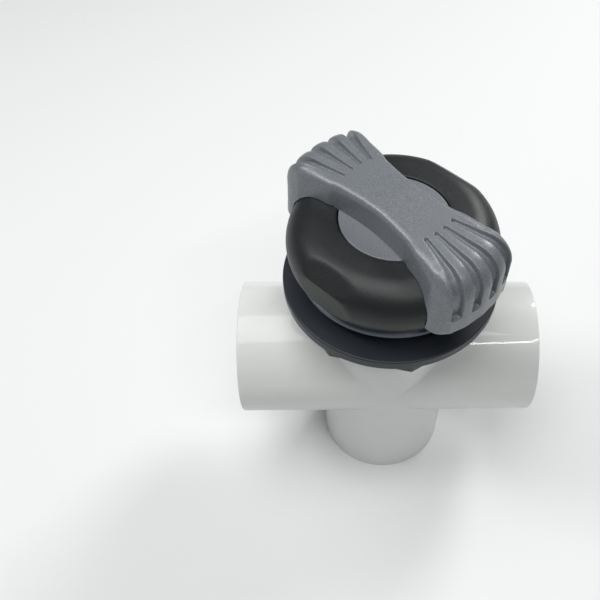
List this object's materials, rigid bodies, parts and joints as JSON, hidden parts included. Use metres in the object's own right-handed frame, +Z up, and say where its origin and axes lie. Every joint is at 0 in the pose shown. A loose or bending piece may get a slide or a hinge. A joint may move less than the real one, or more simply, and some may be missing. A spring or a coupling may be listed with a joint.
{
  "type": "three-way diverter valve",
  "caption": "Hand-turned three-way diverter valve with slip sockets left, right and below, a threaded union nut, and a round handle with a ribbed bow that turns a closed-sided gate.",
  "frame": {"origin": "centre of the bottom port's rim, the lowest face", "axes": "+Z up the stem and handle axis, +X along the run from the left port to the right port"},
  "size_m": [0.1604, 0.109, 0.2028],
  "materials": {
    "white_pvc": "smooth glossy off-white pipe plastic",
    "nut_black": "smooth satin blue-black",
    "ring_black": "fine moulded grain, satin charcoal",
    "bow_grey": "fine moulded grain, satin mid grey",
    "grey_trim": "smooth satin blue-grey",
    "inner_black": "plain moulded black",
    "rubber_seals": "matt black seal rubber",
    "low_friction": "waxy white",
    "steel": "plain stainless"
  },
  "bodies": {
    "body": {"valve_body": "white_pvc", "gate_thrust_ring": "low_friction"},
    "cartridge": {"bonnet": "inner_black", "bonnet_o_ring": "rubber_seals", "slip_washer": "low_friction", "nut_retaining_ring": "steel"},
    "nut": {"union_nut": "nut_black"},
    "handle": {"handle_bow": "bow_grey", "grip_ring": "ring_black", "handle_base": "grey_trim", "stem": "inner_black", "stem_o_ring_lower": "rubber_seals", "stem_o_ring_upper": "rubber_seals", "stem_thrust_washer": "low_friction", "stem_circlip": "steel", "gate": "inner_black", "gate_seal": "rubber_seals", "stem_screw": "steel", "stem_screw_washer": "steel", "ring_screw_1": "steel", "ring_screw_2": "steel", "ring_screw_3": "steel", "ring_screw_4": "steel"}
  },
  "joints": [
    {"name": "cartridge_lift", "type": "slide", "parent": "body", "child": "cartridge", "axis": [0, 0, 1], "range_m": [0, 0.0084]},
    {"name": "nut_turn", "type": "hinge", "parent": "cartridge", "child": "nut", "pos_m": [0, 0, 0.1434], "axis": [0, 0, 1], "range_deg": [0, 600]},
    {"name": "handle_turn", "type": "hinge", "parent": "cartridge", "child": "handle", "pos_m": [0, 0, 0.1574], "axis": [0, 0, 1], "range_deg": [-132.5, 47.5]}
  ],
  "couplings": [
    {"joint": "cartridge_lift", "follows": "nut_turn", "m_per_rad": 0.00079577}
  ]
}
